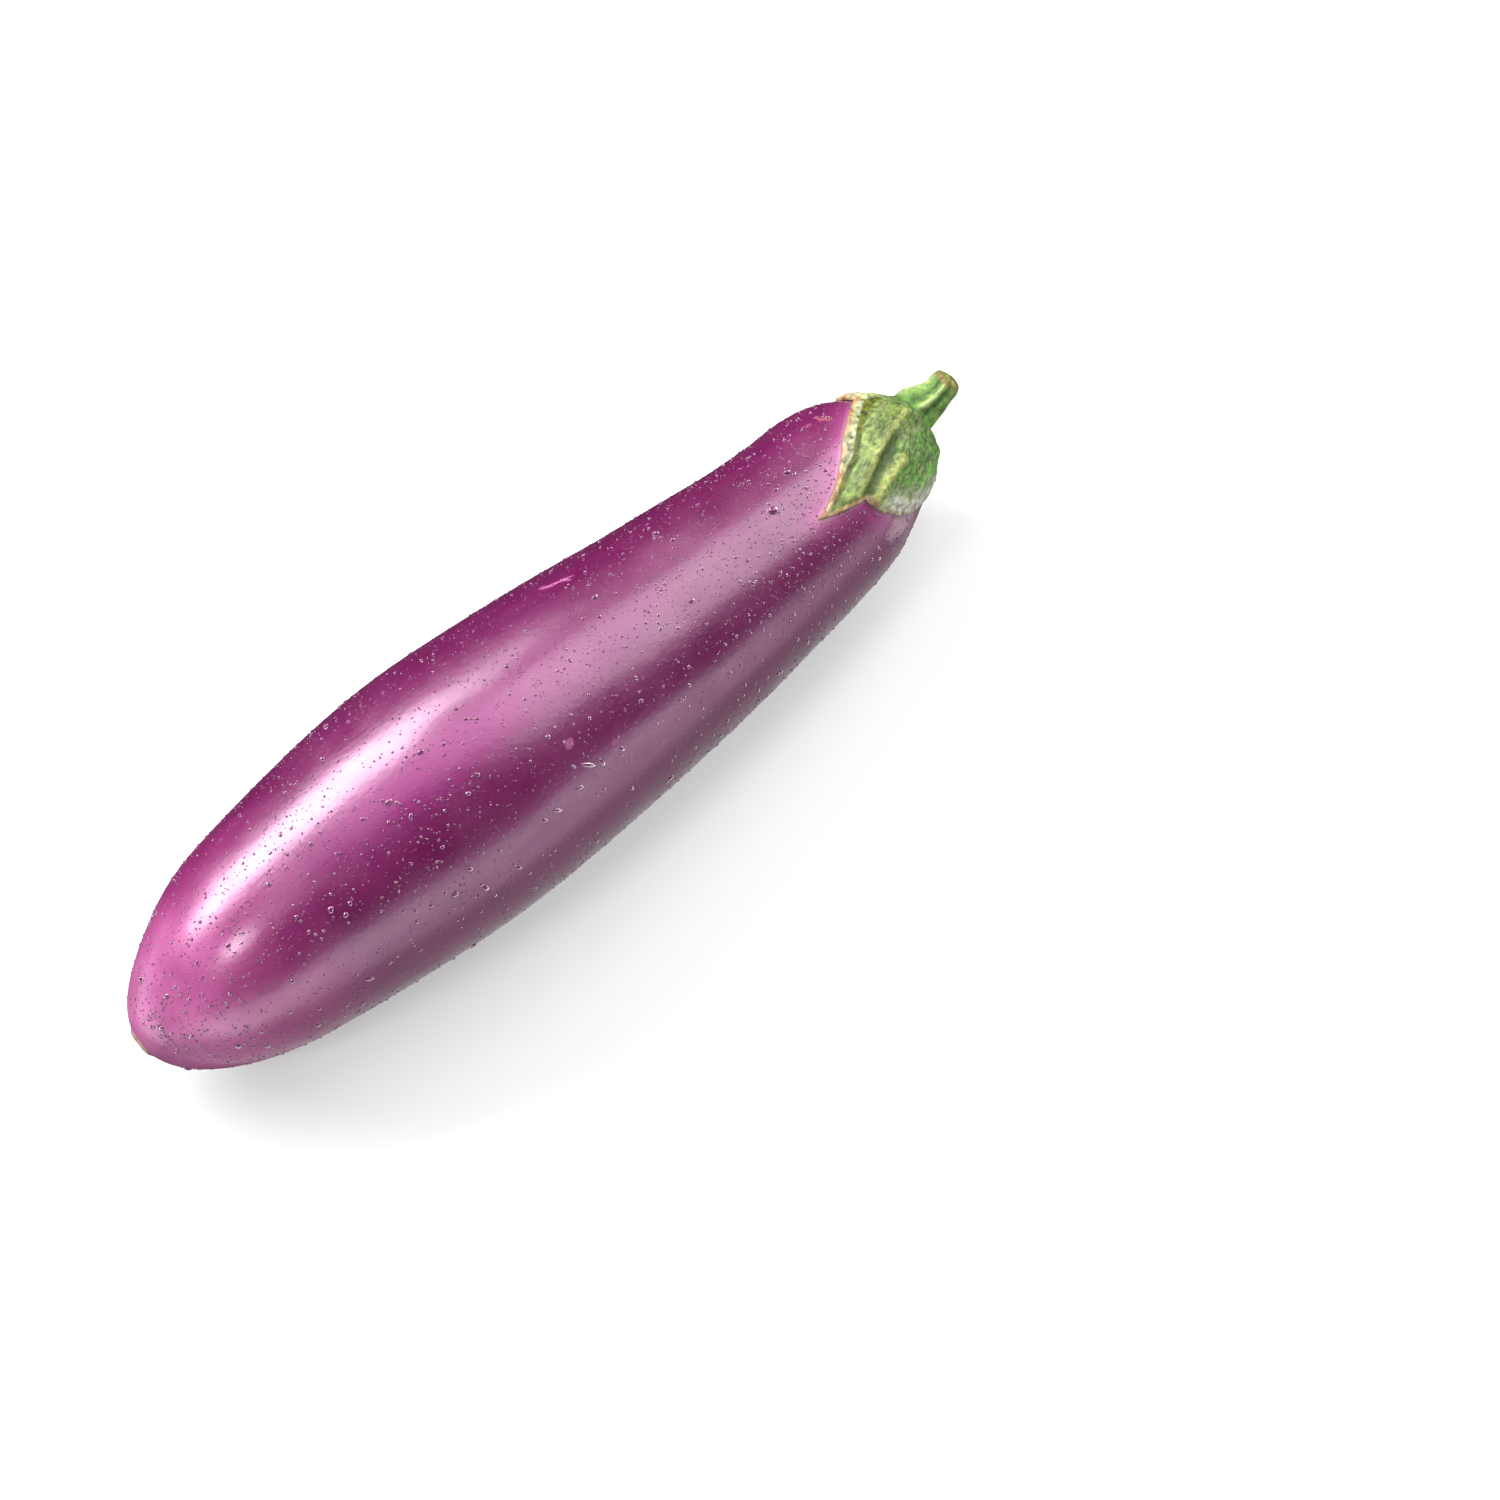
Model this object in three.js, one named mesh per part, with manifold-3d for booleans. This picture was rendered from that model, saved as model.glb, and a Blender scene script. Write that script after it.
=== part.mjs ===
// A long, slender eggplant as picked: the purple fruit, and the green calyx with its cut stub of stem.
// It lies on its belly on the floor z = 0. Millimetres, +Z up, +X from the blossom scar to the stem,
// and the origin is on the floor under the middle of the whole length and width.

import * as THREE from "three";
import { mergeVertices } from "three/addons/utils/BufferGeometryUtils.js";
import Module from "manifold-3d";

// ---- Driving dimensions ----
// A station is a distance in mm along the fruit from its blossom end. An angle is in degrees round the
// fruit: 0 is the +Y flank, 90 the top, 180 the -Y flank and 270 the underside.

const MIDDLE_STATION = 102.37;
const MIDDLE_SIDE = -2.97;

// The fruit: [station, radius] before its two ends are rounded.
const FRUIT_END = 195;
const GIRTH = [[0, 15.9], [25, 20.6], [50, 24.3], [72, 26], [98, 25], [127, 22.4], [156, 19.1],
  [175, 17.1], [185, 15.1], [FRUIT_END, 11.2]];
const NOSE_LENGTH = 30;
const NOSE_BLUNTNESS = 2.3;
const SHOULDER_LENGTH = 26;
const SHOULDER_BLUNTNESS = 2;

// The fruit's middle line: [station, sideways bow] and [station, clearance under the skin]. The belly
// dips under the floor a little and is cut level there, which gives the flat spot that it rests on.
const BOW = [[0, 0], [16, -1.2], [35, -1.5], [70, -2.8], [105, -3.7], [140, -4.1], [162, -3.6],
  [174, -2.2], [184, -1.6], [205, 0.4]];
const CLEARANCE = [[0, 0.9], [25, 0.6], [52, -0.4], [120, -0.4], [146, 1.6], [164, 3], [181, 4], [210, 4.6]];
const STEM_HEIGHT = 20.8;
const NECK = { from: 165, to: 205 };

// The blossom scar: a low corky button with a dimple at the nose.
const SCAR = { radius: 3.1, edge: 0.8, rise: 0.5, dimple: 1.6, depth: 0.4 };

// The calyx: a fleshy cup that clasps the neck, with pointed lobes.
const FIT_GAP = 0.3;
const CALYX_THICKNESS = [[158, 0.95], [175, 1.15], [186, 1.3]];
const THINNEST = 0.7;
const CROWN_STATION = 186;
const STEM_FOOT = 192;

// Each lobe has the angle and station of its tip, and the curve of its edge before and after the tip as
// [point, round]: a point over 1 is a blunter tip, and a round over 1 a wider arc at the notch. notch is
// the angle and station where it meets the next lobe.
const LOBES = [
  { angle: 112.5, tip: 158.2, before: [0.63, 1], after: [1, 1], notch: [123.75, 168] },
  { angle: 131, tip: 168.2, before: [1, 1], after: [1.8, 1], notch: [172, 186] },
  { angle: 244, tip: 160, before: [1, 6], after: [1, 1.6], notch: [264, 180.5] },
  { angle: 283, tip: 164, before: [1, 1.6], after: [1, 1.6], notch: [302, 180.5] },
  { angle: 322, tip: 160, before: [1, 1.6], after: [1, 5], notch: [414, 184.2] },
];

// Ridges and furrows in the calyx: height over the flesh, half width, and a line of [angle, station].
const CREASES = [
  { height: -0.7, width: 1.1, line: [[59, 188], [80, 180], [92, 175.6], [101, 171.9], [111, 162.5]] },
  { height: 1, width: 1.4, line: [[94, 190.5], [99, 185], [108, 175.6], [113, 171.7], [118, 166.5]] },
  { height: -0.7, width: 1.2, line: [[108, 181], [114, 176], [118, 171.4], [122, 168]] },
  { height: 1.1, width: 1.4, line: [[122, 179], [124, 173], [127, 169]] },
  { height: 0.5, width: 1.8, line: [[152, 190], [149, 182], [143, 174]] },
  { height: 0.9, width: 1.7, line: [[232, 190], [240, 179], [244, 162]] },
  { height: 0.9, width: 1.7, line: [[282, 190], [283, 178], [283, 166]] },
  { height: 0.9, width: 1.7, line: [[333, 190], [326, 179], [322, 162]] },
  { height: -0.5, width: 1.8, line: [[174, 188.6], [200, 187.6]] },
  { height: -0.5, width: 1.8, line: [[262, 190], [264, 181.5]] },
  { height: -0.5, width: 1.8, line: [[304, 190], [302, 181.5]] },
  { height: -0.5, width: 1.8, line: [[20, 190], [22, 184.5]] },
];

// Knuckles where the lobes leave the crown, a stub of thorn, and how far the flesh thins at its edge.
const KNUCKLES = [
  { height: 0.4, radius: 3, angle: 34, station: 185 },
  { height: 0.8, radius: 2.6, angle: 166, station: 190.4 },
  { height: 0.5, radius: 1.2, angle: 174, station: 186 },
  { height: 0.7, radius: 3, angle: 246, station: 188 },
  { height: 0.7, radius: 3, angle: 322, station: 188 },
];
const EDGE_THINNING = { depth: 0.3, width: 2.5 };

// The stem: [distance from its foot, radius], how far it bends up, how far its foot stands to the side, its
// domed cut face as [how proud, share of the radius], the knuckles on it, and the ribs and grooves down it.
const STEM = [[0, 6.2], [1.2, 4.9], [3.5, 4.1], [6, 3.5], [8.3, 2.9], [10, 2.95], [10.8, 2.7]];
const STEM_BEND = 30;
const STEM_LEAN = { side: 1.2, from: 1, to: 9 };
const CUT_FACE = [[0.6, 0.9], [1.1, 0.6]];
const CUT_FACE_MIDDLE = 1.3;
const STEM_KNUCKLES = [
  { height: 0.75, angle: 20, width: 50, distance: 4.2, length: 2 },
  { height: 0.2, angle: 15, width: 40, distance: 7.4, length: 1.5 },
];
const STEM_RIBS = [
  { height: 0.18, width: 12, angle: 112 },
  { height: -0.16, width: 13, angle: 138 },
  { height: -0.13, width: 13, angle: 87 },
  { height: 0.1, width: 20, angle: 190 },
  { height: 0.1, width: 20, angle: 270 },
  { height: 0.1, width: 20, angle: 350 },
];

const FRUIT_SIDES = 48;
const CALYX_SIDES = 96;

// ---- Curves ----

// A smooth curve through [place, value] stations, level with its neighbours' slope at each one.
function through(stations, place) {
  const last = stations.length - 1;
  const x = THREE.MathUtils.clamp(place, stations[0][0], stations[last][0]);
  let i = 0;
  while (i < last - 1 && x >= stations[i + 1][0]) i += 1;
  const slope = (k) => {
    const [before, after] = [stations[Math.max(k - 1, 0)], stations[Math.min(k + 1, last)]];
    return (after[1] - before[1]) / (after[0] - before[0]);
  };
  const [[x0, v0], [x1, v1]] = [stations[i], stations[i + 1]];
  const h = x1 - x0;
  const t = (x - x0) / h;
  const [t2, t3] = [t * t, t * t * t];
  return (2 * t3 - 3 * t2 + 1) * v0 + (t3 - 2 * t2 + t) * h * slope(i)
    + (3 * t2 - 2 * t3) * v1 + (t3 - t2) * h * slope(i + 1);
}

// Rounds a radius off to nothing over a length from an end.
function rounding(distance, length, bluntness) {
  const q = THREE.MathUtils.clamp(1 - distance / length, 0, 1);
  return (1 - q * q) ** (1 / bluntness);
}

const radians = THREE.MathUtils.degToRad;
const bell = (distance, width) => Math.exp(-((distance / width) ** 2));
const turn = (a, b) => ((a - b + 540) % 360) - 180;

// ---- The fruit's form ----

function fruitRadius(station) {
  return through(GIRTH, station) * rounding(station, NOSE_LENGTH, NOSE_BLUNTNESS)
    * rounding(FRUIT_END - station, SHOULDER_LENGTH, SHOULDER_BLUNTNESS);
}

// The middle line's point at a station. Past the shoulder it runs level to the stem.
function middle(station) {
  const belly = through(GIRTH, station) + through(CLEARANCE, station);
  const height = belly + (STEM_HEIGHT - belly) * THREE.MathUtils.smoothstep(station, NECK.from, NECK.to);
  return new THREE.Vector3(station - MIDDLE_STATION, through(BOW, station) - MIDDLE_SIDE, height);
}

// The middle line's direction, and the directions of angles 0 and 90 across it.
function frameAt(station) {
  const step = 0.5;
  const along = middle(station + step).sub(middle(station - step)).normalize();
  const side = new THREE.Vector3(0, 0, 1).cross(along).normalize();
  const up = along.clone().cross(side);
  return { along, side, up };
}

// A point of the skin at a station and angle, lifted off it by a height along its normal.
function onSkin(station, angle, lift = 0) {
  const step = 0.25;
  const behind = Math.max(station - step, 0);
  const ahead = Math.min(station + step, FRUIT_END);
  const rise = (fruitRadius(ahead) - fruitRadius(behind)) / (ahead - behind);
  const tilt = Math.atan(rise);
  return onRing(station, angle, fruitRadius(station) + lift * Math.cos(tilt), -lift * Math.sin(tilt));
}

// A point round the middle line at a radius, shifted along it.
function onRing(station, angle, radius, shift = 0) {
  const { along, side, up } = frameAt(station);
  return middle(station)
    .addScaledVector(along, shift)
    .addScaledVector(side, radius * Math.cos(radians(angle)))
    .addScaledVector(up, radius * Math.sin(radians(angle)));
}

// ---- The calyx's form ----

const mmPerDegree = (station) => fruitRadius(Math.min(station, STEM_FOOT)) * radians(1);
const arc = (u, [point, round]) => (1 - (1 - u) ** round) ** point;

// The station of the calyx's edge at an angle.
function edgeStation(angle) {
  const [lastNotch, lastStation] = LOBES[LOBES.length - 1].notch;
  const start = lastNotch - 360;
  const a = ((((angle - start) % 360) + 360) % 360) + start;
  const i = LOBES.findIndex((lobe) => a <= lobe.notch[0]);
  const lobe = LOBES[i];
  const [beforeAngle, beforeStation] = i === 0 ? [start, lastStation] : LOBES[i - 1].notch;
  const [afterAngle, afterStation] = lobe.notch;
  if (a <= lobe.angle) {
    const u = (lobe.angle - a) / (lobe.angle - beforeAngle);
    return lobe.tip + (beforeStation - lobe.tip) * arc(u, lobe.before);
  }
  const u = (a - lobe.angle) / (afterAngle - lobe.angle);
  return lobe.tip + (afterStation - lobe.tip) * arc(u, lobe.after);
}

// The distance in mm over the skin from a place to a point.
function distanceToPoint(point, angle, station) {
  return Math.hypot(turn(angle, point.angle) * mmPerDegree(station), station - point.station);
}

// The distance in mm over the skin from a place to a line of [angle, station].
function distanceToLine(line, angle, station) {
  const reach = mmPerDegree(station);
  let nearest = Infinity;
  for (let i = 0; i + 1 < line.length; i += 1) {
    const [[a0, s0], [a1, s1]] = [line[i], line[i + 1]];
    const [ax, sx] = [turn(angle, a0) * reach, station - s0];
    const [bx, tx] = [turn(a1, a0) * reach, s1 - s0];
    const t = THREE.MathUtils.clamp((ax * bx + sx * tx) / (bx * bx + tx * tx), 0, 1);
    nearest = Math.min(nearest, Math.hypot(ax - t * bx, sx - t * tx));
  }
  return nearest;
}

// The calyx's thickness at an angle and station: the flesh, its creases and knuckles, less at its edge.
function thickness(angle, station) {
  const creases = CREASES.reduce((sum, { height, width, line }) => (
    sum + height * bell(distanceToLine(line, angle, station), width)), 0);
  const knuckles = KNUCKLES.reduce((sum, knuckle) => (
    sum + knuckle.height * bell(distanceToPoint(knuckle, angle, station), knuckle.radius)), 0);
  const thinning = EDGE_THINNING.depth * bell(station - edgeStation(angle), EDGE_THINNING.width);
  const flesh = through(CALYX_THICKNESS, station);
  const whole = Math.max(flesh + creases + knuckles - thinning, THINNEST);
  const fade = THREE.MathUtils.smoothstep(STEM_FOOT - station, 0, 4);
  return flesh + (whole - flesh) * fade;
}

// ---- Closed bodies from rings ----

// Joins rings of points, all of one count, into a closed body with a point at each end. On the outside the
// rings run from the stem towards the blossom end, and each goes round from +Y over the top.
function bodyOfRings(start, rings, end) {
  const sides = rings[0].length;
  const points = [start, ...rings.flat(), end];
  const faces = [];
  const at = (ring, side) => 1 + ring * sides + (side % sides);
  for (let side = 0; side < sides; side += 1) {
    faces.push(0, at(0, side), at(0, side + 1));
    for (let ring = 0; ring + 1 < rings.length; ring += 1) {
      faces.push(at(ring, side), at(ring + 1, side), at(ring + 1, side + 1));
      faces.push(at(ring, side), at(ring + 1, side + 1), at(ring, side + 1));
    }
    faces.push(points.length - 1, at(rings.length - 1, side + 1), at(rings.length - 1, side));
  }
  return new THREE.BufferGeometry().setFromPoints(points).setIndex(faces);
}

function ringOf(sides, pointAt) {
  return Array.from({ length: sides }, (_, i) => pointAt((360 * i) / sides));
}

// ---- Solids for cutting ----

const wasm = await Module();
wasm.setup();

function solidOf(geometry) {
  const bare = geometry.clone();
  bare.deleteAttribute("normal");
  bare.deleteAttribute("uv");
  const merged = mergeVertices(bare);
  return new wasm.Manifold(new wasm.Mesh({
    numProp: 3,
    vertProperties: merged.attributes.position.array,
    triVerts: new Uint32Array(merged.index.array),
  }));
}

function geometryOf(solid) {
  const { vertProperties, triVerts } = solid.getMesh();
  const geometry = new THREE.BufferGeometry();
  geometry.setAttribute("position", new THREE.BufferAttribute(vertProperties, 3));
  geometry.setIndex(new THREE.BufferAttribute(triVerts, 1));
  geometry.computeVertexNormals();
  return geometry;
}

// ---- The fruit ----

// The stations of the fruit's rings, crowded together towards its two ends.
function fruitStations() {
  const [noseSteps, noseCrowding] = [15, 2.6];
  const bodySteps = 18;
  const [shoulderSteps, shoulderCrowding] = [15, 1.8];
  const shoulderStart = 160;
  const nose = Array.from({ length: noseSteps }, (_, i) => (
    NOSE_LENGTH * ((i + 1) / noseSteps) ** noseCrowding));
  const body = Array.from({ length: bodySteps }, (_, i) => (
    NOSE_LENGTH + (shoulderStart - NOSE_LENGTH) * ((i + 1) / bodySteps)));
  const shoulder = Array.from({ length: shoulderSteps }, (_, i) => (
    FRUIT_END - (FRUIT_END - shoulderStart) * (1 - (i + 1) / (shoulderSteps + 1)) ** shoulderCrowding));
  return [...nose, ...body, ...shoulder];
}

// How far the scar's button stands out of the nose, at a radius from its middle.
function scarRise(radius) {
  const { smoothstep } = THREE.MathUtils;
  const button = SCAR.rise * (1 - smoothstep(radius, SCAR.radius - SCAR.edge, SCAR.radius + SCAR.edge));
  return button - SCAR.depth * (1 - smoothstep(radius, 0, SCAR.dimple));
}

function fruitGeometry() {
  const rings = fruitStations().map((station) => {
    const radius = fruitRadius(station);
    const shift = station < NOSE_LENGTH ? -scarRise(radius) : 0;
    return ringOf(FRUIT_SIDES, (angle) => onRing(station, angle, radius, shift));
  });
  const nose = onRing(0, 0, 0, -scarRise(0));
  const whole = solidOf(bodyOfRings(middle(FRUIT_END), rings.reverse(), nose));
  const depth = 20;
  const under = new THREE.BoxGeometry(2 * FRUIT_END, FRUIT_END, depth);
  under.translate(0, 0, -depth / 2);
  return geometryOf(whole.subtract(solidOf(under)));
}

// ---- The calyx with its stem ----

// The stem's rings from its foot on the crown to the cut face, and the cut face's middle.
function stemRings() {
  const { along, side, up } = frameAt(STEM_FOOT);
  const foot = middle(STEM_FOOT);
  const rise = onSkin(STEM_FOOT, 0, FIT_GAP + through(CALYX_THICKNESS, STEM_FOOT)).sub(foot).dot(along);
  const [length, endRadius] = STEM[STEM.length - 1];
  const bendRadius = length / radians(STEM_BEND);

  // The middle line is a circle's arc that turns from along towards up.
  const stemPoint = (distance, angle, radius) => {
    const bend = distance / bendRadius;
    const outwards = radius * Math.sin(radians(angle));
    const lean = STEM_LEAN.side * (1 - THREE.MathUtils.smoothstep(distance, STEM_LEAN.from, STEM_LEAN.to));
    return foot.clone()
      .addScaledVector(along, rise + bendRadius * Math.sin(bend) - outwards * Math.sin(bend))
      .addScaledVector(up, bendRadius * (1 - Math.cos(bend)) + outwards * Math.cos(bend))
      .addScaledVector(side, lean + radius * Math.cos(radians(angle)));
  };
  const ribbed = (distance, angle, radius) => {
    const ribs = STEM_RIBS.reduce((sum, rib) => (
      sum + rib.height * bell(turn(angle, rib.angle), rib.width)), 0);
    const knuckles = STEM_KNUCKLES.reduce((sum, knuckle) => (
      sum + knuckle.height * bell(turn(angle, knuckle.angle), knuckle.width)
        * bell(distance - knuckle.distance, knuckle.length)), 0);
    return radius * (1 + ribs * THREE.MathUtils.smoothstep(distance, 0, 3)) + knuckles;
  };
  const ringAt = (distance, radius) => ringOf(CALYX_SIDES, (angle) => (
    stemPoint(distance, angle, ribbed(distance, angle, radius))));

  const barrel = [0.6, 1.4, 2.4, 3.6, 5, 6.4, 7.8, 9, 10, 10.5, length].map((distance) => (
    ringAt(distance, through(STEM, distance))));
  const cutFace = CUT_FACE.map(([proud, share]) => ringAt(length + proud, endRadius * share));
  return { rings: [...barrel, ...cutFace], centre: stemPoint(length + CUT_FACE_MIDDLE, 0, 0) };
}

// The whole green piece, from the middle of the cut face down the outside to the lobes' edge, round it and
// back up the inside.
function calyxGeometry() {
  const lobeSteps = 15;
  const insideSteps = 6;
  const crown = [STEM_FOOT, 191, 190, 189, 187.6, CROWN_STATION];
  const insideCrown = [CROWN_STATION, 188, 189.8, 191.3, 192.6, 193.6, 194.3, 194.8];
  const edgeProfile = [[0.35, 0.75], [0.45, 0.3], [0.2, 0]];

  const towardsEdge = (angle, share) => CROWN_STATION + (edgeStation(angle) - CROWN_STATION) * share;
  const outside = (station, angle) => onSkin(station, angle, FIT_GAP + thickness(angle, station));
  const ring = (pointAt) => ringOf(CALYX_SIDES, pointAt);

  const stem = stemRings();
  const rings = stem.rings.reverse();
  for (const station of crown) rings.push(ring((angle) => outside(station, angle)));
  for (let i = 1; i <= lobeSteps; i += 1) {
    rings.push(ring((angle) => outside(towardsEdge(angle, i / lobeSteps), angle)));
  }
  for (const [past, share] of edgeProfile) {
    rings.push(ring((angle) => {
      const edge = edgeStation(angle);
      const t = thickness(angle, edge);
      return onSkin(edge - past * t, angle, FIT_GAP + share * t);
    }));
  }
  for (let i = insideSteps; i > 0; i -= 1) {
    rings.push(ring((angle) => onSkin(towardsEdge(angle, i / (insideSteps + 1)), angle, FIT_GAP)));
  }
  for (const station of insideCrown) rings.push(ring((angle) => onSkin(station, angle, FIT_GAP)));
  return bodyOfRings(stem.centre, rings, onRing(FRUIT_END, 0, 0, FIT_GAP));
}

// ---- The eggplant ----

const SKIN = new THREE.MeshStandardMaterial({ color: 0x7a1f63, roughness: 0.22, metalness: 0 });
const GREEN = new THREE.MeshStandardMaterial({ color: 0x8faa50, roughness: 0.6, metalness: 0 });

function piece(name, geometry, material) {
  const mesh = new THREE.Mesh(geometry, material);
  mesh.name = name;
  return mesh;
}

const eggplant = new THREE.Group();
eggplant.name = "eggplant";
eggplant.add(piece("fruit", fruitGeometry(), SKIN));
eggplant.add(piece("calyx_with_stem", geometryOf(solidOf(calyxGeometry())), GREEN));

export default eggplant;
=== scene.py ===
"""A long, slender eggplant lying on its belly: glossy purple skin, a green calyx with its cut stem, and
water drops on the skin. The form is worked out in millimetres and the meshes are made in metres."""
import math

import bpy
import numpy as np
from mathutils import Matrix, Quaternion, Vector


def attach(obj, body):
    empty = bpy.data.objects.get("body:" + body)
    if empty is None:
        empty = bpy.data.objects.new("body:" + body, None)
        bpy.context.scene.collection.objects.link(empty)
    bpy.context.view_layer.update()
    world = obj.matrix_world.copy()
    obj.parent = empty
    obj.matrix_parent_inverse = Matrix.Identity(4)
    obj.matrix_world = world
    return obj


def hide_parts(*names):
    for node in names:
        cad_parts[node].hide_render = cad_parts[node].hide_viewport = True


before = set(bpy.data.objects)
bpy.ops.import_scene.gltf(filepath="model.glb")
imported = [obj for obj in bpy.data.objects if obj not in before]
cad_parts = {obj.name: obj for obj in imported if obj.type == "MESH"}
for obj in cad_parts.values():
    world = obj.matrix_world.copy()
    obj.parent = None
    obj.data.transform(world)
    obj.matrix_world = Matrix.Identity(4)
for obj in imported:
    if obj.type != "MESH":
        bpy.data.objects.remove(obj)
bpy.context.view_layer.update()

# ---- The form's dimensions, as in the solids ----
# A station is a distance in mm along the fruit from its blossom end. An angle is in degrees round the
# fruit: 0 is the +Y flank, 90 the top, 180 the -Y flank and 270 the underside.

MIDDLE_STATION = 102.37
MIDDLE_SIDE = -2.97
FRUIT_END = 195
GIRTH = [[0, 15.9], [25, 20.6], [50, 24.3], [72, 26], [98, 25], [127, 22.4], [156, 19.1], [175, 17.1],
         [185, 15.1], [FRUIT_END, 11.2]]
NOSE_LENGTH, NOSE_BLUNTNESS = 30, 2.3
SHOULDER_LENGTH, SHOULDER_BLUNTNESS = 26, 2
BOW = [[0, 0], [16, -1.2], [35, -1.5], [70, -2.8], [105, -3.7], [140, -4.1], [162, -3.6], [174, -2.2],
       [184, -1.6], [205, 0.4]]
CLEARANCE = [[0, 0.9], [25, 0.6], [52, -0.4], [120, -0.4], [146, 1.6], [164, 3], [181, 4], [210, 4.6]]
STEM_HEIGHT = 20.8
NECK_FROM, NECK_TO = 165, 205
SCAR_RADIUS, SCAR_EDGE, SCAR_RISE, SCAR_DIMPLE, SCAR_DEPTH = 3.1, 0.8, 0.5, 1.6, 0.4

FIT_GAP = 0.3
CALYX_THICKNESS = [[158, 0.95], [175, 1.15], [186, 1.3]]
THINNEST = 0.7
CROWN_STATION = 186
STEM_FOOT = 192

# Each lobe: angle and station of its tip, the edge's curve before and after the tip as (point, round), and
# the angle and station of the notch after it.
LOBES = [
    (112.5, 158.2, (0.63, 1), (1, 1), (123.75, 168)),
    (131, 168.2, (1, 1), (1.8, 1), (172, 186)),
    (244, 160, (1, 6), (1, 1.6), (264, 180.5)),
    (283, 164, (1, 1.6), (1, 1.6), (302, 180.5)),
    (322, 160, (1, 1.6), (1, 5), (414, 184.2)),
]

# Ridges and furrows: height over the flesh, half width, and a line of [angle, station].
DARK_FOLD = [[59, 188], [80, 180], [92, 175.6], [101, 171.9], [111, 162.5]]
BRIGHT_RIDGE = [[94, 190.5], [99, 185], [108, 175.6], [113, 171.7], [118, 166.5]]
SHADED_GROOVE = [[108, 181], [114, 176], [118, 171.4], [122, 168]]
ROLLED_EDGE = [[122, 179], [124, 173], [127, 169]]
CREASES = [
    (-0.7, 1.1, DARK_FOLD),
    (1, 1.4, BRIGHT_RIDGE),
    (-0.7, 1.2, SHADED_GROOVE),
    (1.1, 1.4, ROLLED_EDGE),
    (0.5, 1.8, [[152, 190], [149, 182], [143, 174]]),
    (0.9, 1.7, [[232, 190], [240, 179], [244, 162]]),
    (0.9, 1.7, [[282, 190], [283, 178], [283, 166]]),
    (0.9, 1.7, [[333, 190], [326, 179], [322, 162]]),
    (-0.5, 1.8, [[174, 188.6], [200, 187.6]]),
    (-0.5, 1.8, [[262, 190], [264, 181.5]]),
    (-0.5, 1.8, [[304, 190], [302, 181.5]]),
    (-0.5, 1.8, [[20, 190], [22, 184.5]]),
]
# Knuckles where the lobes leave the crown, and a stub of thorn: height, radius, angle, station.
KNUCKLES = [(0.4, 3, 34, 185), (0.8, 2.6, 166, 190.4), (0.5, 1.2, 174, 186), (0.7, 3, 246, 188),
            (0.7, 3, 322, 188)]
EDGE_THINNING, EDGE_WIDTH = 0.3, 2.5

# The stem: distance from its foot and radius. It bends upwards and leans to one side at its foot.
STEM = [[0, 6.2], [1.2, 4.9], [3.5, 4.1], [6, 3.5], [8.3, 2.9], [10, 2.95], [10.8, 2.7]]
STEM_BEND = 30
LEAN_SIDE, LEAN_FROM, LEAN_TO = 1.2, 1, 9
# The cut face is a low dome: how far its middle stands out, and its rings as (how far out, share of the
# stem's end radius).
CUT_FACE_MIDDLE = 1.3
CUT_FACE_RINGS = ((1.28, 0.1), (1.22, 0.35), (1.08, 0.6), (0.86, 0.78), (0.6, 0.9), (0.3, 0.97))
# Knuckles on the stem: height in mm, angle and half width in degrees, distance from the foot, half length.
STEM_KNUCKLES = [(0.75, 20, 50, 4.2, 2), (0.2, 15, 40, 7.4, 1.5)]
# Ribs and grooves down the stem: share of its radius, width in degrees, angle.
STEM_RIBS = [(0.18, 12, 112), (-0.16, 13, 138), (-0.13, 13, 87), (0.1, 20, 190), (0.1, 20, 270),
             (0.1, 20, 350)]

# ---- The surfaces' detail ----

MM = 0.001

FRUIT_SIDES = 288
NOSE_RINGS, BODY_RINGS, SHOULDER_RINGS = 60, 110, 40
BODY_END = 160
CALYX_SIDES = 480
STEM_RINGS, LOBE_RINGS = 56, 72
# How far the finer calyx's inside lies over the fruit, and the least its flesh is thick, in mm.
INSIDE_LIFT = 0.12
LEAST_FLESH = 0.35
# A station past the fruit's end, which marks the points of the stem's cut face.
CUT_FACE_STATION = FRUIT_END + 18
# Painted light on the stem's lit side: how much lighter, at which angle, and how wide.
STEM_PAINTED_LIGHT, STEM_LIGHT_ANGLE, STEM_LIGHT_WIDTH = 0.85, 28, 32
# The middle of the dry, corky patch along the right front lobe, as a line of [angle, station].
SCAB = [[139, 171.5], [150, 175], [160, 180], [168, 185]]

DROP_COUNT = 1500
MIST_COUNT = 6000

# How bright the studio light shows a white surface that faces up.
LIGHT_LEVEL = 2.6
LAMP_DISTANCE = 1.0
CAMERA_PLACE = (-0.17803, -0.25404, 0.76336)
CAMERA_BACK = (-0.2481, -0.2806, 0.9272)
CAMERA_RIGHT = (0.7492, -0.6624, 0.0)
CAMERA_LENS, CAMERA_SENSOR = 100.84, 36
FLOOR_HALF = 3
WORLD_GREY = 0.035

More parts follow.
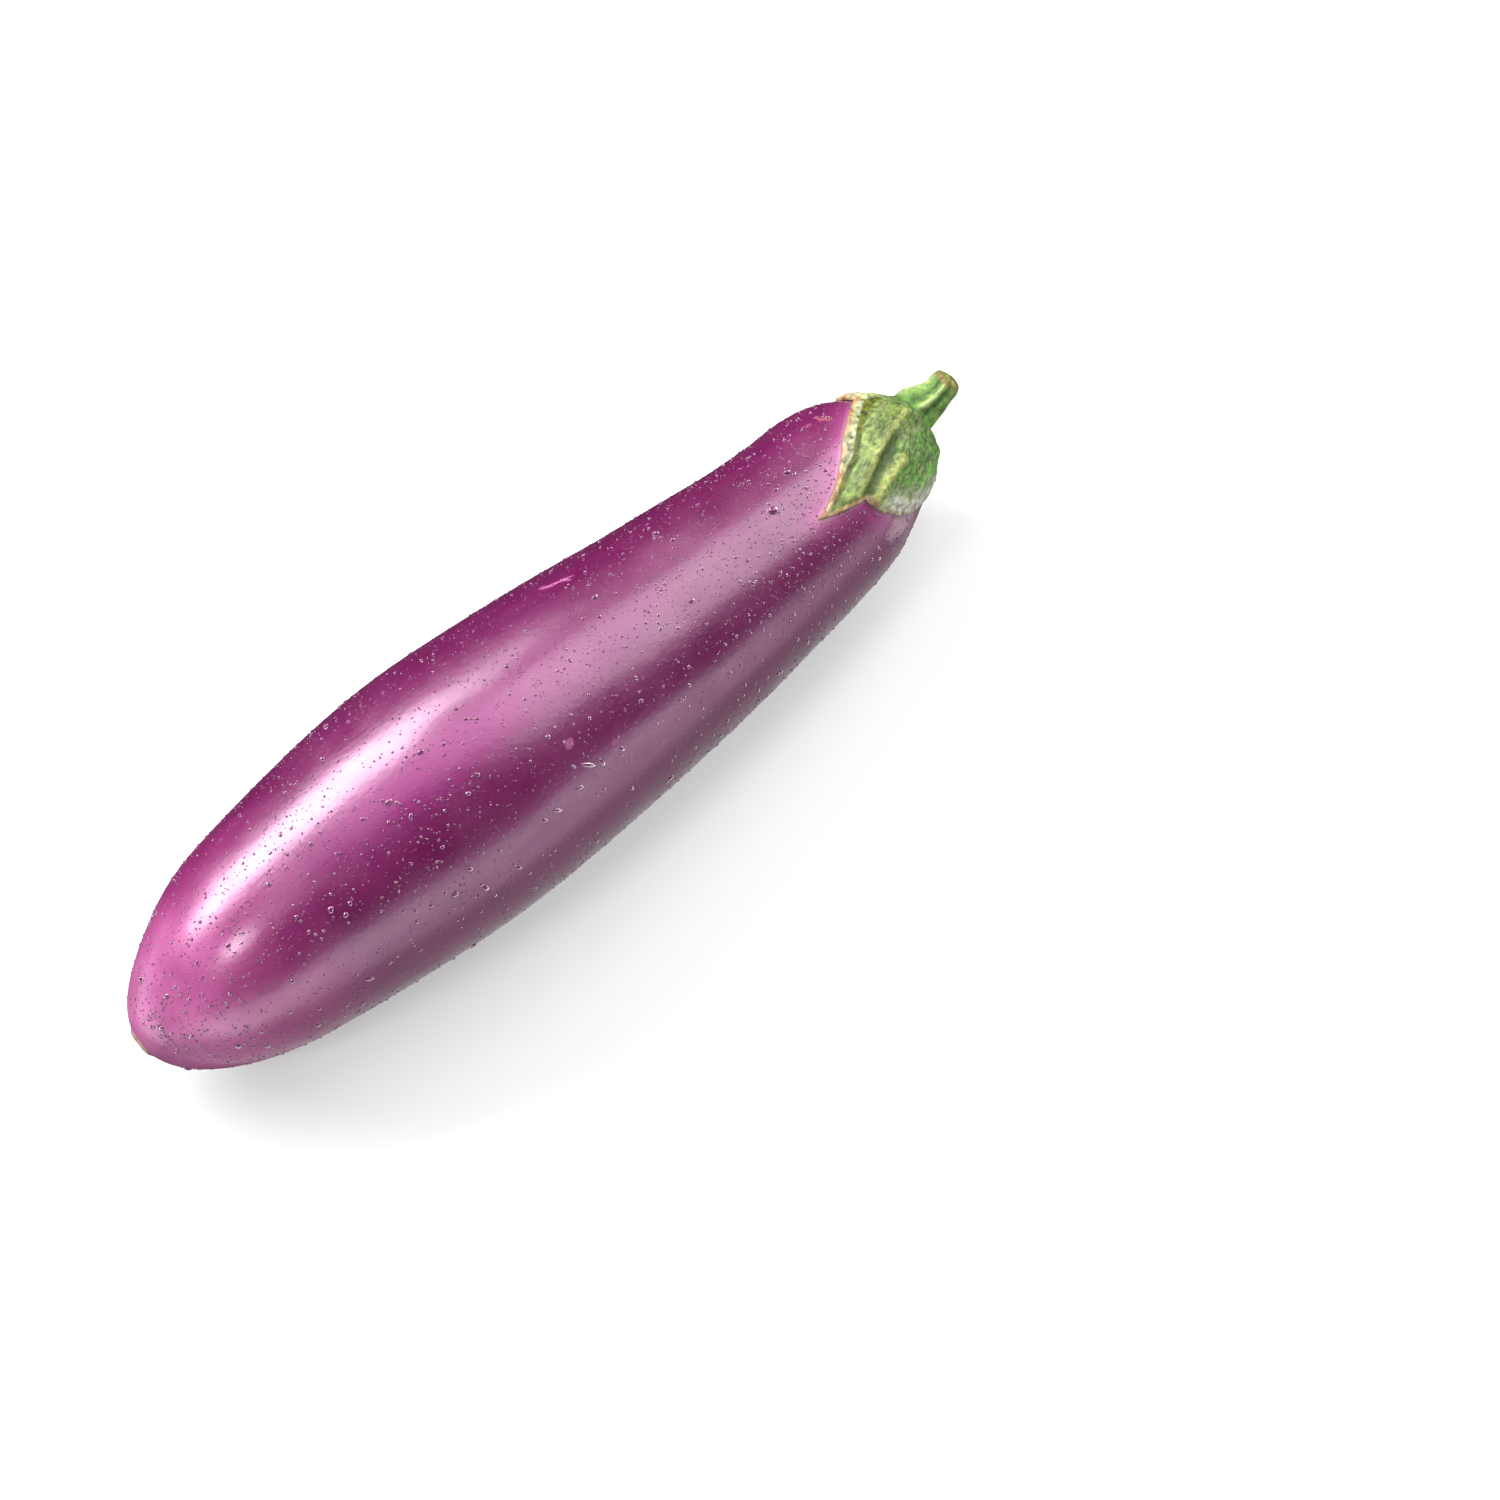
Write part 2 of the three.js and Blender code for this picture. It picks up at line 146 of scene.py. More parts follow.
# Marks on the skin: station, angle, length, width, heading, raggedness, strength and tone.
SKIN_MARKS = [
    (110.7, 53.5, 7, 0.9, 12, 0.5, 0.75, (226, 130, 180)),
    (112.2, 55.5, 3.2, 0.8, 40, 0.5, 0.6, (220, 120, 170)),
    (108.3, 50.8, 2.2, 1.4, 0, 0.6, 0.55, (220, 120, 170)),
    (91.1, 122, 2.4, 2, 0, 0.5, 0.5, (214, 130, 180)),
    (98.9, 134, 1.8, 1.4, 0, 0.5, 0.4, (190, 110, 160)),
    (175, 63, 4.2, 2, 60, 0.7, 0.6, (206, 112, 118)),
    (172, 60, 2.2, 1.1, 30, 0.7, 0.4, (196, 104, 120)),
    (174, 157, 13, 6.5, 0, 0.25, 0.75, (214, 180, 192)),
]


# ---- Curves and noise ----

def through(stations, place):
    """A smooth curve through [place, value] stations."""
    table = np.asarray(stations, float)
    x, v = table[:, 0], table[:, 1]
    last = len(x) - 1
    place = np.clip(place, x[0], x[-1])
    i = np.clip(np.searchsorted(x, place, side="right") - 1, 0, last - 1)
    before, after = np.maximum(np.arange(last + 1) - 1, 0), np.minimum(np.arange(last + 1) + 1, last)
    slope = (v[after] - v[before]) / (x[after] - x[before])
    h = x[i + 1] - x[i]
    t = (place - x[i]) / h
    t2, t3 = t * t, t * t * t
    return ((2 * t3 - 3 * t2 + 1) * v[i] + (t3 - 2 * t2 + t) * h * slope[i]
            + (3 * t2 - 2 * t3) * v[i + 1] + (t3 - t2) * h * slope[i + 1])


def smoothstep(value, low, high):
    t = np.clip((value - low) / (high - low), 0, 1)
    return t * t * (3 - 2 * t)


def bell(distance, width):
    return np.exp(-((distance / width) ** 2))


def turn(a, b):
    """The signed turn in degrees from angle b to angle a."""
    return (a - b + 540) % 360 - 180


def rounding(distance, length, bluntness):
    """The share of the full girth at a distance from a rounded end."""
    q = np.clip(1 - distance / length, 0, 1)
    return (1 - q * q) ** (1 / bluntness)


def noise(points, cell, seed):
    """Smooth random values from -1 to 1, with features about one cell across."""
    size = 32
    lattice = np.random.default_rng(seed).uniform(-1, 1, (size, size, size))
    q = points / np.asarray(cell, float)
    base = np.floor(q).astype(int)
    t = q - base
    t = t * t * (3 - 2 * t)
    total = np.zeros(points.shape[:-1])
    for corner in np.ndindex(2, 2, 2):
        weight = np.prod(np.where(corner, t, 1 - t), axis=-1)
        i, j, k = np.moveaxis((base + corner) % size, -1, 0)
        total += weight * lattice[i, j, k]
    return total


# ---- The fruit's form ----

def fruit_radius(station):
    return (through(GIRTH, station) * rounding(station, NOSE_LENGTH, NOSE_BLUNTNESS)
            * rounding(FRUIT_END - station, SHOULDER_LENGTH, SHOULDER_BLUNTNESS))


def middle(station):
    belly = through(GIRTH, station) + through(CLEARANCE, station)
    height = belly + (STEM_HEIGHT - belly) * smoothstep(station, NECK_FROM, NECK_TO)
    return np.stack([station - MIDDLE_STATION, through(BOW, station) - MIDDLE_SIDE, height], -1)


def frame_at(station):
    """The directions along the fruit, to its +Y side and up, square to each other."""
    step = 0.5
    along = middle(station + step) - middle(station - step)
    along /= np.linalg.norm(along, axis=-1, keepdims=True)
    side = np.cross([0, 0, 1], along)
    side /= np.linalg.norm(side, axis=-1, keepdims=True)
    return along, side, np.cross(along, side)


def on_ring(station, angle, radius, shift=0):
    along, side, up = frame_at(station)
    turned = np.radians(angle)
    return (middle(station) + along * np.asarray(shift)[..., None]
            + side * (radius * np.cos(turned))[..., None] + up * (radius * np.sin(turned))[..., None])


def on_skin(station, angle, lift=0):
    """A point at a lift in mm square off the smooth skin."""
    step = 0.25
    behind, ahead = np.maximum(station - step, 0), np.minimum(station + step, FRUIT_END)
    tilt = np.arctan((fruit_radius(ahead) - fruit_radius(behind)) / (ahead - behind))
    return on_ring(station, angle, fruit_radius(station) + lift * np.cos(tilt), -lift * np.sin(tilt))


# ---- The calyx's form ----

def mm_per_degree(station):
    return fruit_radius(np.minimum(station, STEM_FOOT)) * math.radians(1)


def arc(u, point, sweep):
    """The edge's curve from a lobe's tip, at 0, to its notch, at 1."""
    return (1 - (1 - u) ** sweep) ** point


def edge_station(angle):
    """The station of the calyx's edge at an angle."""
    start, before = LOBES[-1][4][0] - 360, LOBES[-1][4]
    before = (start, before[1])
    a = (angle - start) % 360 + start
    edge = np.zeros_like(a, dtype=float)
    for tip_angle, tip, rising, falling, after in LOBES:
        u = np.clip((tip_angle - a) / (tip_angle - before[0]), 0, 1)
        w = np.clip((a - tip_angle) / (after[0] - tip_angle), 0, 1)
        left = tip + (before[1] - tip) * arc(u, *rising)
        right = tip + (after[1] - tip) * arc(w, *falling)
        inside = (a > before[0] - 1e-9) & (a <= after[0])
        edge = np.where(inside, np.where(a <= tip_angle, left, right), edge)
        before = after
    return edge


def distance_to_line(line, angle, station):
    """The distance in mm over the skin to a line of [angle, station]."""
    reach = mm_per_degree(station)
    nearest = np.full(np.shape(station), np.inf)
    for (a0, s0), (a1, s1) in zip(line, line[1:]):
        ax, sx = turn(angle, a0) * reach, station - s0
        bx, tx = turn(a1, a0) * reach, s1 - s0
        t = np.clip((ax * bx + sx * tx) / (bx * bx + tx * tx), 0, 1)
        nearest = np.minimum(nearest, np.hypot(ax - t * bx, sx - t * tx))
    return nearest


def distance_to_edge(angle, station):
    """The distance in mm over the skin to the calyx's edge."""
    at = np.linspace(0, 360, 1080, endpoint=False)
    edge = edge_station(at)
    shape = np.shape(station)
    angle, station = np.ravel(angle), np.ravel(station)
    nearest = np.empty(len(station))
    for i in range(0, len(station), 4000):
        part = slice(i, i + 4000)
        across = turn(angle[part, None], at[None]) * mm_per_degree(station[part])[:, None]
        nearest[part] = np.sqrt((across ** 2 + (station[part, None] - edge[None]) ** 2).min(1))
    return nearest.reshape(shape)


def thickness(angle, station):
    """The calyx's thickness with its ridges, furrows and knuckles, as in the solid."""
    whole = through(CALYX_THICKNESS, station)
    flesh = whole.copy()
    for height, width, line in CREASES:
        whole += height * bell(distance_to_line(line, angle, station), width)
    for height, radius, at_angle, at_station in KNUCKLES:
        away = np.hypot(turn(angle, at_angle) * mm_per_degree(station), station - at_station)
        whole += height * bell(away, radius)
    whole -= EDGE_THINNING * bell(station - edge_station(angle), EDGE_WIDTH)
    fade = smoothstep(STEM_FOOT - station, 0, 4)
    return flesh + (np.maximum(whole, THINNEST) - flesh) * fade


# ---- Meshes ----

def new_object(name, points, faces, attributes):
    mesh = bpy.data.meshes.new(name)
    mesh.from_pydata((np.asarray(points) * MM).tolist(), [], faces)
    for attribute, values in attributes.items():
        layer = mesh.attributes.new(attribute, "FLOAT", "POINT")
        layer.data.foreach_set("value", np.asarray(values, np.float32))
    mesh.shade_smooth()
    made = bpy.data.objects.new(name, mesh)
    bpy.context.scene.collection.objects.link(made)
    return made


def body_faces(ring_count, sides):
    """Faces of a closed body: a first point, rings of points, and a last point."""
    def at(ring, side):
        return 1 + ring * sides + side % sides

    end = 1 + ring_count * sides
    faces = [(0, at(0, side), at(0, side + 1)) for side in range(sides)]
    for ring in range(ring_count - 1):
        faces += [(at(ring, side), at(ring + 1, side), at(ring + 1, side + 1), at(ring, side + 1))
                  for side in range(sides)]
    faces += [(end, at(ring_count - 1, side + 1), at(ring_count - 1, side)) for side in range(sides)]
    return faces


# ---- The fruit ----

def skin_relief(points, station):
    """The skin's gentle unevenness in mm, which breaks up its reflections."""
    relief = (0.22 * noise(points, (34, 16, 16), 1) + 0.07 * noise(points, (12, 7, 7), 2)
              + 0.012 * noise(points, (2.5, 1.6, 1.6), 3))
    return relief * smoothstep(station, 1, 14) * (1 - smoothstep(station, 150, 166))


def skin_point(station, angle, lift=0):
    """A point over the finished skin."""
    smooth = on_skin(station, angle)
    return on_skin(station, angle, skin_relief(smooth, station) + lift)


def scar_rise(radius):
    """How far the blossom scar's button and its dimple stand out."""
    button = SCAR_RISE * (1 - smoothstep(radius, SCAR_RADIUS - SCAR_EDGE, SCAR_RADIUS + SCAR_EDGE))
    return button - SCAR_DEPTH * (1 - smoothstep(radius, 0, SCAR_DIMPLE))


def make_fruit():
    nose = NOSE_LENGTH * (np.arange(1, NOSE_RINGS + 1) / NOSE_RINGS) ** 2.6
    body = np.linspace(NOSE_LENGTH, BODY_END, BODY_RINGS + 1)[1:]
    from_end = 1 - np.arange(1, SHOULDER_RINGS + 1) / (SHOULDER_RINGS + 1)
    shoulder = FRUIT_END - (FRUIT_END - BODY_END) * from_end ** 1.8
    stations = np.concatenate([nose, body, shoulder])
    angles = np.arange(FRUIT_SIDES) * 360 / FRUIT_SIDES
    s, a = np.meshgrid(stations, angles, indexing="ij")
    points = skin_point(s, a)
    radius = fruit_radius(s)
    along = frame_at(s)[0]
    at_nose = (s < NOSE_LENGTH)[..., None]
    corky = 1 - smoothstep(radius, SCAR_RADIUS - 0.4, SCAR_RADIUS + 0.9)
    rise = scar_rise(radius) + 0.12 * corky * noise(points, 0.7, 4)
    points = points - along * np.where(at_nose, rise[..., None], 0)
    points[..., 2] = np.maximum(points[..., 2], 0)
    tip = on_ring(np.array(0.0), np.array(0.0), np.array(0.0), -scar_rise(np.array(0.0)))
    end = middle(np.array(float(FRUIT_END)))
    order = np.concatenate([tip[None], points.reshape(-1, 3), end[None]])

    away = distance_to_edge(a, s)
    covered = s > edge_station(a)
    halo = np.where(covered, 1, np.exp(-away / 2.6))

    def pad(values, first, last):
        return np.concatenate([[first], values.ravel(), [last]])

    faces = [tuple(reversed(face)) for face in body_faces(len(stations), FRUIT_SIDES)]
    return new_object("fruit_skin", order, faces, {
        "station": pad(s, 0, FRUIT_END),
        "angle": pad(a, 0, 0),
        "halo": pad(halo, 0, 1),
        "scar": pad(np.where(s < NOSE_LENGTH, corky, 0), 1, 0),
        # Painted light: a lighter, more saturated patch on the top of the body, beside the highlight.
        "painted_top_light": pad(bell(s - 70, 32) * bell(turn(a, 95), 13), 0, 0),
    })


# ---- The calyx with its stem ----

def ragged_edge(angle):
    """The edge's station with its small nicks."""
    turned = np.radians(angle)
    round_trip = np.stack([np.cos(turned), np.sin(turned), 0 * turned], -1) * 17
    nicks = 0.35 * noise(round_trip, 1.6, 11) + 0.2 * noise(round_trip, 0.7, 12)
    return edge_station(angle) + nicks


def flow_angle(angle, station):
    """The angle that a fibre leaves the crown at: the fibres of the front lobes lean across it."""
    lean = smoothstep(angle, 62, 92) * (1 - smoothstep(angle, 128, 150))
    return angle - lean * (190 - station)


def netting(angle, station, width, length, seed):
    """Raised threads, 0 to 1, of a net drawn out down the lobes. Its mesh is width by length in mm."""
    flow = np.radians(flow_angle(angle, station))
    flat = np.stack([np.cos(flow) * 16, np.sin(flow) * 16, station], -1)
    warp = np.stack([noise(flat, 2.6, seed + axis) for axis in (1, 2, 3)], -1)
    warped = flat + warp * (0.7 * width, 0.7 * width, 0.2 * length)
    return smoothstep(1 - 2.6 * np.abs(noise(warped, (width, width, length), seed)), 0.3, 1)


def calyx_net(angle, station):
    coarse = netting(angle, station, 0.8, 4.5, 21)
    fine = netting(angle, station, 0.42, 2, 26)
    return np.maximum(0.8 * coarse, 0.8 * fine)


def calyx_relief(angle, station, points):
    lumps = noise(points, (4, 3, 3), 31)
    pits = noise(points, 0.8, 32)
    return 0.16 * calyx_net(angle, station) + 0.24 * lumps + 0.14 * pits - 0.08


def line_by_station(line):
    """A line of [angle, station] as its stations in rising order, and its angles."""
    ordered = sorted((station, angle) for angle, station in line)
    return [station for station, _ in ordered], [angle for _, angle in ordered]


def make_calyx():
    angles = np.arange(CALYX_SIDES) * 360 / CALYX_SIDES
    kinds = ("margin", "stem", "cut", "ring", "rib")
    parts = {key: [] for key in ("position", "station", *kinds)}

    def add(points, station, **values):
        parts["position"].append(points)
        parts["station"].append(np.broadcast_to(station, angles.shape))
        for key in kinds:
            parts[key].append(np.broadcast_to(values.get(key, 0), angles.shape))

    # The stem, from the cut face down to its foot.
    along, side, up = frame_at(np.array(float(STEM_FOOT)))
    foot = middle(np.array(float(STEM_FOOT)))
    lift = FIT_GAP + through(CALYX_THICKNESS, STEM_FOOT)
    rise = (on_skin(np.array(float(STEM_FOOT)), np.array(0.0), lift) - foot) @ along
    length, end_radius = STEM[-1]
    bend_radius = length / math.radians(STEM_BEND)

    def stem_ring(distance, radius):
        turned = np.radians(angles)
        ribs = sum(height * bell(turn(angles, at), width) for height, width, at in STEM_RIBS)
        base = np.stack([np.cos(turned) * 3, np.sin(turned) * 3, 0 * turned + distance], -1)
        fine = 0.09 * noise(base, (0.8, 0.8, 4), 31) + 0.05 * noise(base, 0.5, 32)
        knuckles = sum(height * bell(turn(angles, at), width) * bell(distance - place, reach)
                       for height, at, width, place, reach in STEM_KNUCKLES)
        ribbed_radius = radius * (1 + ribs * smoothstep(distance, 0, 3))
        r = ribbed_radius + (fine + knuckles) * min(1, radius / 2)
        bend = distance / bend_radius
        outwards = r * np.sin(turned)
        lean = LEAN_SIDE * (1 - smoothstep(distance, LEAN_FROM, LEAN_TO))
        return (foot + along * (rise + bend_radius * math.sin(bend) - outwards * math.sin(bend))[:, None]
                + up * (bend_radius * (1 - math.cos(bend)) + outwards * math.cos(bend))[:, None]
                + side * (lean + r * np.cos(turned))[:, None])

    for proud, share in CUT_FACE_RINGS:
        add(stem_ring(length + proud, end_radius * share), CUT_FACE_STATION, stem=1, cut=1,
            ring=smoothstep(share, 0.75, 0.95))
    # Painted light and shade on the stem: lighter over its raised ribs and on its lit side, darker in its
    # grooves.
    rib_shade = sum(height * bell(turn(angles, at), 0.8 * width) for height, width, at in STEM_RIBS) / 0.16
    rib_shade = rib_shade + STEM_PAINTED_LIGHT * bell(turn(angles, STEM_LIGHT_ANGLE), STEM_LIGHT_WIDTH)
    for distance in np.linspace(length, 0.5, STEM_RINGS):
        add(stem_ring(distance, through(STEM, distance)), STEM_FOOT + distance,
            stem=smoothstep(distance, 0.5, 4), ring=bell(length - distance, 0.45), rib=rib_shade)

    # The crown and the lobes' outside.
    edge = ragged_edge(angles)
    crown = np.concatenate([np.linspace(STEM_FOOT, 190, 7), np.linspace(189.6, CROWN_STATION, 9)])
    rows = [np.full_like(angles, station) for station in crown]
    down_lobe = np.linspace(0, 1, LOBE_RINGS + 1)[1:]
    rows += [CROWN_STATION + (edge - CROWN_STATION) * share for share in down_lobe]
    for row in rows:
        smooth = on_skin(row, angles, 1)
        fade = smoothstep(STEM_FOOT - row, 0, 3)
        away = distance_to_edge(angles, row)
        thin = 0.8 + 0.2 * smoothstep(away, 0, 2)
        t = thickness(angles, row) * thin + calyx_relief(angles, row, smooth) * fade * (0.4 + 0.6 * thin)
        bead = 0.12 * bell(away - 0.35, 0.35)
        rim = np.maximum(t, LEAST_FLESH) + bead
        add(on_skin(row, angles, FIT_GAP + rim), row, margin=bell(away, 0.8))

    # Round the edge, with the last row's thickness, and up the inside.
    for past, share in ((0.25, 0.8), (0.42, 0.5), (0.35, 0.2), (0.1, 0)):
        height = INSIDE_LIFT + (FIT_GAP + rim - INSIDE_LIFT) * share
        add(on_skin(edge - past * rim, angles, height), edge, margin=1)
    for share in (0.97, 0.9, 0.75, 0.5, 0.25):
        add(on_skin(CROWN_STATION + (edge - CROWN_STATION) * share, angles, INSIDE_LIFT), edge)
    for station in (CROWN_STATION, 188, 189.8, 191.3, 192.6, 193.6, 194.3, 194.8):
        add(on_skin(np.full_like(angles, station), angles, INSIDE_LIFT), station)

    count = len(parts["position"])
    first = stem_ring(length + CUT_FACE_MIDDLE, 0.001).mean(0)
    last = on_ring(np.array(float(FRUIT_END)), np.array(0.0), np.array(0.0), INSIDE_LIFT)
    points = np.concatenate([first[None], np.concatenate(parts["position"]), last[None]])

    def column(key, start, end):
        return np.concatenate([[start], np.concatenate(parts[key]), [end]])

    station = column("station", CUT_FACE_STATION, FRUIT_END)
    angle = np.concatenate([[0], np.tile(angles, count), [0]])
    on_lobes = station <= STEM_FOOT
    s = np.minimum(station, STEM_FOOT)

    def near(line, width):
        return bell(distance_to_line(line, angle, s), width) * on_lobes

    before_fold = turn(np.interp(s, *line_by_station(DARK_FOLD)), angle) * mm_per_degree(s)
    past_ridge = turn(angle, np.interp(s, *line_by_station(BRIGHT_RIDGE))) * mm_per_degree(s)
    beside_fold = (turn(angle, 40) > 0) * (turn(angle, 125) < 0)
    return new_object("calyx_green", points, body_faces(count, CALYX_SIDES), {
        "margin": column("margin", 0, 0),
        "corky": bell(turn(angle, 152), 24) * on_lobes,
        "scab": near(SCAB, 2),
        "stem": column("stem", 1, 0),
        "cut": column("cut", 1, 0),
        "ring": column("ring", 0, 0),
        # Painted shade: the side away from the key light, angles 125 to 215, gets darker mottling and
        # threads.
        "shade": np.clip(turn(angle, 125) / 40, 0, 1) * (1 - np.clip(turn(angle, 215) / 40, 0, 1)),
        # Painted shade: the crease of the dark folded furrow is painted dark olive.
        "fold_painted_shade": near(DARK_FOLD, 0.6 + 0.5 * smoothstep(s, 177, 185)),
        # Painted shade: the shaded furrow beside the bright crest is painted darker green.
        "groove_painted_shade": near(SHADED_GROOVE, 1.1),
        # Painted light: the bright crest and the rolled lobe edge are painted pale yellow where the light
        # catches them.
        "ridge_painted_light": np.clip(0.8 * near(BRIGHT_RIDGE, 0.8) + near(ROLLED_EDGE, 1.2), 0, 1),
        "rib": column("rib", 0, 0),
        "pale": smoothstep(before_fold, -0.4, 1.2) * beside_fold * on_lobes,
        "green": np.clip(smoothstep(past_ridge, 0, 5) * smoothstep(s, 168, 180) * (turn(angle, 215) < 0)
                         + smoothstep(s, 186, 191), 0, 1),
        "net": np.where(on_lobes, calyx_net(angle, s), 0),
    })


# ---- Water drops ----

# Larger drops: station, angle, length and width in mm, and how far the length is turned from the fruit's
# axis in degrees.
LARGE_DROPS = [
    (152.7, 92, 2.2, 1.7, 20), (92.2, 135, 3.4, 0.9, 40), (94.8, 138, 2.2, 0.8, 75),
    (88.7, 141, 1.9, 0.8, 15), (83.1, 143, 2, 0.8, 30), (39.4, 160, 1.8, 0.9, 20),
    (41.4, 117, 1.3, 1.2, 0), (42.9, 123, 1.1, 1, 0), (44.8, 120, 1, 0.9, 0),
    (65.6, 153, 1.3, 1, 30), (65, 140, 1.2, 0.9, 60), (60.6, 146, 1.2, 1, 10),
    (80.2, 143, 1.1, 0.8, 50), (99.5, 139, 1.4, 0.8, 80), (113, 75, 1.4, 1.1, 0),
    (128, 104, 1.3, 1.1, 20), (133, 61, 1.5, 1.2, 50), (70, 88, 1.2, 1, 0),
    (161, 78, 1.4, 1.1, 10), (24, 98, 1.1, 0.9, 30),
]
# A dome's rings as (share of its width, share of its height).
LARGE_DOME = ((1, -0.12), (1, 0.12), (0.93, 0.42), (0.78, 0.7), (0.55, 0.88), (0.28, 0.97))
SMALL_DOME = ((1, -0.12), (0.96, 0.38), (0.68, 0.8), (0.34, 0.96))
MIST_DOME = ((1, -0.12), (0.8, 0.62))
# How far a drop's foot lies under the skin, in mm, and how high a scattered drop is for its width.
DROP_FOOT = -0.06
DROP_HEIGHT = 0.4


def drop_dome(rings, sides, station, angle, length, width, heading, height, wobble):
    """One drop's points: rings from the skin up to its top. wobble is how uneven its outline is."""
    turned = np.arange(sides) * 2 * math.pi / sides
    outline = 1 + wobble[0] * np.cos(2 * turned + wobble[1]) + wobble[2] * np.cos(3 * turned + wobble[3])
    c, w = math.cos(math.radians(heading)), math.sin(math.radians(heading))
    reach = float(mm_per_degree(np.array(station)))
    points = []
    for share, rise in rings:
        x = length / 2 * share * outline * np.cos(turned)
        y = width / 2 * share * outline * np.sin(turned)
        lift = np.full(sides, rise * height)
        points.append((station + c * x - w * y, angle + (w * x + c * y) / reach, lift))
    top = (np.array([station]), np.array([angle]), np.array([height]))
    foot = (np.array([station]), np.array([angle]), np.array([DROP_FOOT]))
    return tuple(np.concatenate(group) for group in zip(foot, *points, top))


def drop_places(rng, count, bare):
    """Places on the skin, most of them on its top, clear of the calyx. bare is the share left out."""
    tries = count * 4
    stations, angles = rng.uniform(3, 187, tries), rng.uniform(-35, 215, tries)
    where = on_skin(stations, angles)
    wanted = 1 - bare + 0.3 * noise(where, (22, 13, 13), 51) + 0.25 * noise(where, 5, 52)
    wanted *= 0.25 + 0.75 * bell(angles - 105, 68)
    keep = (stations < edge_station(angles) - 0.7) & (rng.uniform(0, 1, tries) < wanted)
    return list(zip(stations[keep], angles[keep]))[:count]


def make_drops(name, drops, rng):
    stations, angles, lifts, faces = [], [], [], []
    start = 0
    for rings, sides, *drop in drops:
        wobble = (rng.uniform(0, 0.16), rng.uniform(0, 6), rng.uniform(0, 0.1), rng.uniform(0, 6))
        ds, da, dl = drop_dome(rings, sides, *drop, wobble)
        stations.append(ds)
        angles.append(da)
        lifts.append(dl)
        faces += [tuple(start + i for i in reversed(face)) for face in body_faces(len(rings), sides)]
        start += len(ds)
    points = skin_point(np.concatenate(stations), np.concatenate(angles), np.concatenate(lifts))
    return new_object(name, points, faces, {})


def clear_drops():
    rng = np.random.default_rng(7)
    drops = [(LARGE_DOME, 16, s, a, length, width, heading, 0.42 * width)
             for s, a, length, width, heading in LARGE_DROPS]
    for s, a in drop_places(rng, DROP_COUNT, 0.45):
        size = min(0.4 * math.exp(0.36 * rng.normal()), 1)
        dome, sides = (LARGE_DOME, 14) if size > 0.75 else (SMALL_DOME, 9)
        drops.append((dome, sides, s, a, size * rng.uniform(1, 1.3), size, rng.uniform(0, 180),
                      DROP_HEIGHT * size))
    return make_drops("water_drops", drops, rng)


def fine_drops():
    rng = np.random.default_rng(8)
    drops = []
    for s, a in drop_places(rng, MIST_COUNT, 0.4):
        size = min(0.27 * math.exp(0.3 * rng.normal()), 0.5)
        drops.append((MIST_DOME, 7, s, a, size * rng.uniform(1, 1.2), size, rng.uniform(0, 180),
                      DROP_HEIGHT * size))
    return make_drops("water_mist", drops, rng)


# ---- Materials ----

